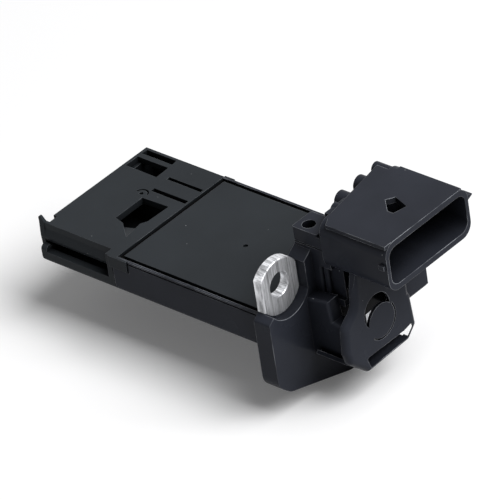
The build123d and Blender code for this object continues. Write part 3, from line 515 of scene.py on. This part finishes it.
def repeat(tree, start, shape):
    """Copies of a shape in a row along Y, realized as one mesh."""
    step = tree.nodes.new("ShaderNodeCombineXYZ")
    link(tree, start.outputs["Pitch"], step.inputs["Y"])
    points = tree.nodes.new("GeometryNodeMeshLine")
    link(tree, start.outputs["Count"], points.inputs["Count"])
    link(tree, step.outputs[0], points.inputs["Offset"])
    copies = tree.nodes.new("GeometryNodeInstanceOnPoints")
    link(tree, points.outputs["Mesh"], copies.inputs["Points"])
    link(tree, shape, copies.inputs["Instance"])
    real = tree.nodes.new("GeometryNodeRealizeInstances")
    link(tree, copies.outputs["Instances"], real.inputs["Geometry"])
    return real.outputs["Geometry"]


def set_material(tree, start, shape, label="Material", selection=None):
    """Give the shape the material of that input, everywhere or where selected."""
    finish = tree.nodes.new("GeometryNodeSetMaterial")
    link(tree, shape, finish.inputs["Geometry"])
    link(tree, start.outputs[label], finish.inputs["Material"])
    if selection is not None:
        link(tree, selection, finish.inputs["Selection"])
    return finish.outputs["Geometry"]


def copied_row_group():
    """The object's own mesh, repeated in a row."""
    tree, start, end = row_group("Copied Row", [("Material", "Material")])
    row = repeat(tree, start, start.outputs["Geometry"])
    link(tree, set_material(tree, start, row), end.inputs["Geometry"])
    return tree


def wire_row_group():
    """A row of round wires, each bent in one soft loop."""
    tree, start, end = row_group("Wire Row", [
        ("Start", "Vector"), ("Middle", "Vector"), ("End", "Vector"),
        ("Radius", "Float"), ("Material", "Material"),
    ])
    loop = put(tree, "GeometryNodeCurveQuadraticBezier", Resolution=WIRE_STEPS)
    for label in ("Start", "Middle", "End"):
        link(tree, start.outputs[label], loop.inputs[label])
    section = put(tree, "GeometryNodeCurvePrimitiveCircle", Resolution=WIRE_SIDES)
    link(tree, start.outputs["Radius"], section.inputs["Radius"])
    tube = put(tree, "GeometryNodeCurveToMesh", Fill_Caps=True)
    link(tree, loop.outputs["Curve"], tube.inputs["Curve"])
    link(tree, section.outputs["Curve"], tube.inputs["Profile Curve"])
    soft = tree.nodes.new("GeometryNodeSetShadeSmooth")
    link(tree, tube.outputs["Mesh"], soft.inputs["Geometry"])
    row = repeat(tree, start, soft.outputs["Geometry"])
    link(tree, set_material(tree, start, row), end.inputs["Geometry"])
    return tree


def capacitor_row_group():
    """A row of small capacitors: a ceramic body between two metal ends."""
    tree, start, end = row_group("Capacitor Row", [
        ("First", "Vector"), ("Body", "Vector"), ("End Cap", "Vector"), ("End Place", "Vector"),
        ("Body Half", "Float"), ("Ceramic", "Material"), ("Metal", "Material"),
    ])
    joined = tree.nodes.new("GeometryNodeJoinGeometry")
    for size, side in (("Body", 0.0), ("End Cap", -1.0), ("End Cap", 1.0)):
        block = tree.nodes.new("GeometryNodeMeshCube")
        link(tree, start.outputs[size], block.inputs["Size"])
        away = put(tree, "ShaderNodeVectorMath", operation="SCALE", Scale=side)
        link(tree, start.outputs["End Place"], away.inputs[0])
        moved = tree.nodes.new("GeometryNodeTransform")
        link(tree, block.outputs["Mesh"], moved.inputs["Geometry"])
        link(tree, away.outputs[0], moved.inputs["Translation"])
        link(tree, moved.outputs["Geometry"], joined.inputs["Geometry"])
    placed = tree.nodes.new("GeometryNodeTransform")
    link(tree, joined.outputs["Geometry"], placed.inputs["Geometry"])
    link(tree, start.outputs["First"], placed.inputs["Translation"])
    row = set_material(tree, start, repeat(tree, start, placed.outputs["Geometry"]), "Ceramic")
    place = tree.nodes.new("GeometryNodeInputPosition")
    apart = put(tree, "ShaderNodeVectorMath", operation="SUBTRACT")
    link(tree, place.outputs[0], apart.inputs[0])
    link(tree, start.outputs["First"], apart.inputs[1])
    along = tree.nodes.new("ShaderNodeSeparateXYZ")
    link(tree, apart.outputs[0], along.inputs[0])
    far = put(tree, "ShaderNodeMath", operation="ABSOLUTE")
    link(tree, along.outputs["X"], far.inputs[0])
    beyond = math_of(tree, "GREATER_THAN", far.outputs[0], start.outputs["Body Half"])
    ends = set_material(tree, start, row, "Metal", beyond)
    link(tree, ends, end.inputs["Geometry"])
    return tree


def grown(name, tree, values, mesh=None):
    """A piece built by a geometry node group from the given inputs, as plain mesh."""
    piece = bpy.data.objects.new(name, mesh or bpy.data.meshes.new(name))
    bpy.context.scene.collection.objects.link(piece)
    build = piece.modifiers.new("Build", "NODES")
    build.node_group = tree
    for socket in tree.interface.items_tree:
        if socket.in_out == "INPUT" and socket.name in values:
            build[socket.identifier] = values[socket.name]
    graph = bpy.context.evaluated_depsgraph_get()
    made = bpy.data.meshes.new_from_object(piece.evaluated_get(graph))
    piece.modifiers.clear()
    piece.data = made
    made.name = name
    return piece


def rounded_copy(node_name, radius):
    """A merged copy of a CAD node's mesh with its edges rounded."""
    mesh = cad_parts[node_name].data.copy()
    work = bmesh.new()
    work.from_mesh(mesh)
    bmesh.ops.remove_doubles(work, verts=work.verts, dist=MERGE)
    bmesh.ops.dissolve_limit(work, angle_limit=FLAT_ANGLE, verts=work.verts, edges=work.edges)
    bmesh.ops.bevel(work, geom=work.edges[:], offset=radius, segments=ROUND_SEGMENTS, affect="EDGES")
    work.to_mesh(mesh)
    work.free()
    mesh.shade_smooth()
    return mesh


def stand_for(piece, slot, *nodes):
    """The piece rides on the part and is shown in place of CAD nodes."""
    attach(piece, BODY)
    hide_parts(*nodes)


def wire_row(name, node_name, start_z, end_z, count, radius, finish):
    """Round looped wires in the place of a CAD node's square ones, as high at their middle."""
    low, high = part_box(node_name)
    start = Vector((low.x + radius, low.y + radius, start_z))
    end = Vector((high.x - radius, low.y + radius, end_z))
    middle = (start + end) / 2
    middle.z = 2 * (high.z - radius) - (start_z + end_z) / 2
    piece = grown(name, shared_group("Wire Row", wire_row_group), {
        "Count": count, "Pitch": (high.y - low.y - 2 * radius) / (count - 1),
        "Start": start, "Middle": middle, "End": end, "Radius": radius, "Material": finish,
    })
    stand_for(piece, "bond_metal", node_name)


class SENSOR_OT_housing(bpy.types.Operator):
    """Black moulding: probe, flange, neck, face plate and socket"""
    bl_idname = "sensor.housing"
    bl_label = "Housing"

    def execute(self, context):
        # The housing gets a strong painted highlight on its edges and painted shade in its corners
        show_as("housing", plastic(
            "Housing Plastic", colours().housing, roughness=0.25, mottle=0.7,
            edge=sizes().edge_round, highlight_amount=0.85, dust=0.05))
        return {"FINISHED"}


class SENSOR_OT_probe_tip(bpy.types.Operator):
    """Two halves of the probe's tip"""
    bl_idname = "sensor.probe_tip"
    bl_label = "Probe tip"

    def execute(self, context):
        # The tip gets a weaker painted highlight on its edges and painted shade in its corners
        finish = plastic(
            "Tip Plastic", colours().covers, roughness=0.34, mottle=0.5,
            edge=sizes().thin_edge_round, highlight_amount=0.4, dust=0.04)
        show_as("bypass_cover", finish)
        show_as("bypass_channel", finish)
        return {"FINISHED"}


class SENSOR_OT_lid(bpy.types.Operator):
    """Lid over the electronics and the bead around it"""
    bl_idname = "sensor.lid"
    bl_label = "Lid and sealant"

    def execute(self, context):
        # The lid gets a weaker painted highlight on its edges and painted shade in its corners
        show_as("circuit_cover", plastic(
            "Lid Plastic", colours().covers, roughness=0.34, mottle=0.5,
            edge=sizes().thin_edge_round, highlight_amount=0.4, dust=0.04))
        show_as("cover_sealant", plastic("Sealant", colours().sealant, roughness=0.7, specular=0.02))
        return {"FINISHED"}


class SENSOR_OT_bushes(bpy.types.Operator):
    """Bright aluminium bushes in the flange"""
    bl_idname = "sensor.bushes"
    bl_label = "Bushes"

    def execute(self, context):
        finish = drawn_metal(
            "Bush Aluminium", colours().aluminium, (0.12, 1.0, 0.035),
            roughness=0.53, scale=3000.0, bump=0.6, dark=0.3)
        for node_name in BUSHES:
            show_as(node_name, finish)
        return {"FINISHED"}


class SENSOR_OT_terminals(bpy.types.Operator):
    """Five pins in the socket"""
    bl_idname = "sensor.terminals"
    bl_label = "Terminals"

    def execute(self, context):
        finish = drawn_metal("Tin Plate", colours().tin, (0.05, 1.0, 1.0), roughness=0.35, bump=0.1)
        first, second = [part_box(node_name)[0] for node_name in TERMINALS[:2]]
        pins = grown("terminal_pins", copied_row_group(), {
            "Count": len(TERMINALS), "Pitch": second.y - first.y, "Material": finish,
        }, rounded_copy(TERMINALS[0], sizes().pin_round))
        stand_for(pins, "terminal_metal", *TERMINALS)
        return {"FINISHED"}


class SENSOR_OT_electronics(bpy.types.Operator):
    """Board, chips, wires and sensing parts inside the probe"""
    bl_idname = "sensor.electronics"
    bl_label = "Electronics"

    def execute(self, context):
        resin = plastic("Chip Resin", colours().chip_resin, roughness=0.55)
        board = plastic("Solder Resist", colours().board, roughness=0.3, specular=0.3, mottle=0.4)
        gel = plastic("Silicone Gel", colours().gel, roughness=0.15, specular=0.4)
        ceramic = plastic("Capacitor Ceramic", colours().ceramic, roughness=0.4)
        glass = plastic("Bead Glass", colours().bead_glass, roughness=0.1, specular=0.5)
        wire = drawn_metal("Wire", colours().aluminium, (0.1, 1.0, 1.0), bump=0.05)
        plate = drawn_metal("Heat Plate", colours().aluminium, (0.08, 1.0, 1.0))
        silicon = drawn_metal("Silicon", colours().silicon, (1.0, 1.0, 1.0), roughness=0.12, bump=0.02)
        finishes = {
            "base_plate": plate, "circuit_board": board, "control_chip": resin, "protective_gel": gel,
            "sensor_carrier": resin, "sensing_chip": silicon,
            "thermistor_bead": glass, "thermistor_leads": wire,
        }
        for node_name, finish in finishes.items():
            show_as(node_name, finish)
        self.capacitors(ceramic, wire)
        carrier_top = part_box("sensor_carrier")[1].z
        chip_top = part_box("sensing_chip")[1].z
        wire_row("bond_wire_loops", "bond_wires", chip_top, carrier_top, BOND_WIRE_COUNT,
                 sizes().bond_wire_radius, wire)
        pin_low, pin_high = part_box(TERMINALS[0])
        pin_top = pin_low.z + pin_high.y - pin_low.y
        wire_row("terminal_wire_loops", "terminal_wires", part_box("circuit_board")[1].z, pin_top,
                 len(TERMINALS), sizes().terminal_wire_radius, wire)
        return {"FINISHED"}

    def capacitors(self, ceramic, metal):
        low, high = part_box("chip_capacitors")
        length, height = high.x - low.x, high.z - low.z
        width = sizes().capacitor_width
        cap = length * END_CAP_SHARE
        slim = 1.0 - END_CAP_PROUD
        row = grown("capacitor_row", capacitor_row_group(), {
            "Count": CAPACITOR_COUNT, "Pitch": (high.y - low.y - width) / (CAPACITOR_COUNT - 1),
            "First": Vector(((low.x + high.x) / 2, low.y + width / 2, (low.z + high.z) / 2)),
            "Body": Vector((length - cap, width * slim, height * slim)),
            "End Cap": Vector((cap, width, height)),
            "End Place": Vector(((length - cap) / 2, 0.0, 0.0)),
            "Body Half": length / 2 - cap, "Ceramic": ceramic, "Metal": metal,
        })
        stand_for(row, "capacitor", "chip_capacitors")


def camera_axes():
    """Right, up and backward directions of the camera."""
    azimuth, elevation, roll = sizes().camera_azimuth, sizes().camera_elevation, sizes().camera_roll
    back = Vector((
        math.sin(azimuth) * math.cos(elevation),
        -math.cos(azimuth) * math.cos(elevation),
        math.sin(elevation),
    ))
    level = Vector((math.cos(azimuth), math.sin(azimuth), 0.0))
    upright = back.cross(level)
    right = level * math.cos(roll) - upright * math.sin(roll)
    return right, back.cross(right), back


def key_light():
    """The one soft square lamp, which faces the part."""
    lamp = bpy.data.lights.new("Key light", "AREA")
    lamp.shape = "SQUARE"
    lamp.size = KEY_SIDE
    lamp.energy = KEY_POWER
    made = bpy.data.objects.new("Key light", lamp)
    bpy.context.scene.collection.objects.link(made)
    made.location = KEY_PLACE
    made.rotation_mode = "QUATERNION"
    made.rotation_quaternion = (Vector(KEY_PLACE) - Vector(CAMERA_AIM)).to_track_quat("Z", "Y")


def white_to_the_eye(tree):
    """1 for camera, glossy and transmission rays, else 0."""
    path = tree.nodes.new("ShaderNodeLightPath")
    total = path.outputs["Is Camera Ray"]
    for kind in ("Is Glossy Ray", "Is Transmission Ray"):
        total = math_of(tree, "MAXIMUM", total, path.outputs[kind])
    return total


def floor_material():
    """Pale floor that looks white where it is lit, and keeps the part's shadow."""
    material, tree, shader, _ = new_material("Pale Floor")
    seen = white_to_the_eye(tree)
    shade = blend(tree, seen, colours().floor_bounce, colours().floor)
    link(tree, shade, shader.inputs["Base Color"])
    shader.inputs["Roughness"].default_value = 0.9
    shader.inputs["Specular IOR Level"].default_value = 0.0
    shader.inputs["Emission Color"].default_value = (1.0, 1.0, 1.0, 1.0)
    link(tree, math_of(tree, "MULTIPLY", seen, FLOOR_LIFT), shader.inputs["Emission Strength"])
    return material


def studio_world():
    """Soft surround: plain grey light on the part, white to the eye."""
    world = bpy.data.worlds.new("Studio")
    bpy.context.scene.world = world
    world.use_nodes = True
    tree = world.node_tree
    tree.nodes.clear()
    seen = put(tree, "ShaderNodeBackground", Color=(1.0, 1.0, 1.0, 1.0), Strength=1.0)
    soft = put(tree, "ShaderNodeBackground", Color=(1.0, 1.0, 1.0, 1.0), Strength=WORLD_LIGHT)
    mix = tree.nodes.new("ShaderNodeMixShader")
    output = tree.nodes.new("ShaderNodeOutputWorld")
    link(tree, white_to_the_eye(tree), mix.inputs[0])
    link(tree, soft.outputs[0], mix.inputs[1])
    link(tree, seen.outputs[0], mix.inputs[2])
    link(tree, mix.outputs[0], output.inputs["Surface"])


class SENSOR_OT_stage(bpy.types.Operator):
    """Pale floor, soft lights and the camera"""
    bl_idname = "sensor.stage"
    bl_label = "Stage"

    def execute(self, context):
        floor_z = CAD_BOX[0][2] - sizes().floor_drop
        mesh = bpy.data.meshes.new("floor")
        sides = ((-1, -1), (1, -1), (1, 1), (-1, 1))
        corners = [(FLOOR_HALF * x, FLOOR_HALF * y, floor_z) for x, y in sides]
        mesh.from_pydata(corners, [], [range(len(corners))])
        mesh.materials.append(floor_material())
        floor = bpy.data.objects.new("floor", mesh)
        context.scene.collection.objects.link(floor)
        studio_world()
        key_light()
        self.make_camera(context)
        context.scene.view_settings.view_transform = "Standard"
        return {"FINISHED"}

    def make_camera(self, context):
        right, up, back = camera_axes()
        data = bpy.data.cameras.new("Camera")
        data.lens = sizes().lens
        data.sensor_width = SENSOR_WIDTH
        data.clip_start, data.clip_end = CLIP_RANGE
        camera = bpy.data.objects.new("Camera", data)
        context.scene.collection.objects.link(camera)
        place = Vector(CAMERA_AIM) + back * sizes().camera_distance
        turn = Matrix((right, up, back)).transposed().to_4x4()
        camera.matrix_world = Matrix.Translation(place) @ turn
        context.scene.camera = camera


STEPS = [
    SENSOR_OT_stage, SENSOR_OT_housing, SENSOR_OT_probe_tip, SENSOR_OT_lid,
    SENSOR_OT_bushes, SENSOR_OT_terminals, SENSOR_OT_electronics,
]


class SENSOR_PT_panel(bpy.types.Panel):
    """Lists the sizes, the colours and the steps"""
    bl_idname = "SENSOR_PT_panel"
    bl_label = "Airflow Sensor"
    bl_space_type = "VIEW_3D"
    bl_region_type = "UI"
    bl_category = "Airflow Sensor"

    def draw(self, context):
        layout = self.layout
        for group in (context.scene.sensor_sizes, context.scene.sensor_colours):
            box = layout.box()
            for name in group.__annotations__:
                box.prop(group, name)
        for step in STEPS:
            layout.operator(step.bl_idname)


CLASSES = [SensorSizes, SensorColours, *STEPS, SENSOR_PT_panel]


def register():
    for entry in CLASSES:
        bpy.utils.register_class(entry)
    bpy.types.Scene.sensor_sizes = bpy.props.PointerProperty(type=SensorSizes)
    bpy.types.Scene.sensor_colours = bpy.props.PointerProperty(type=SensorColours)


def unregister():
    del bpy.types.Scene.sensor_colours
    del bpy.types.Scene.sensor_sizes
    for entry in reversed(CLASSES):
        bpy.utils.unregister_class(entry)


def main():
    register()
    bpy.ops.sensor.stage()
    bpy.ops.sensor.housing()
    bpy.ops.sensor.probe_tip()
    bpy.ops.sensor.lid()
    bpy.ops.sensor.bushes()
    bpy.ops.sensor.terminals()
    bpy.ops.sensor.electronics()


if __name__ == "__main__":
    main()
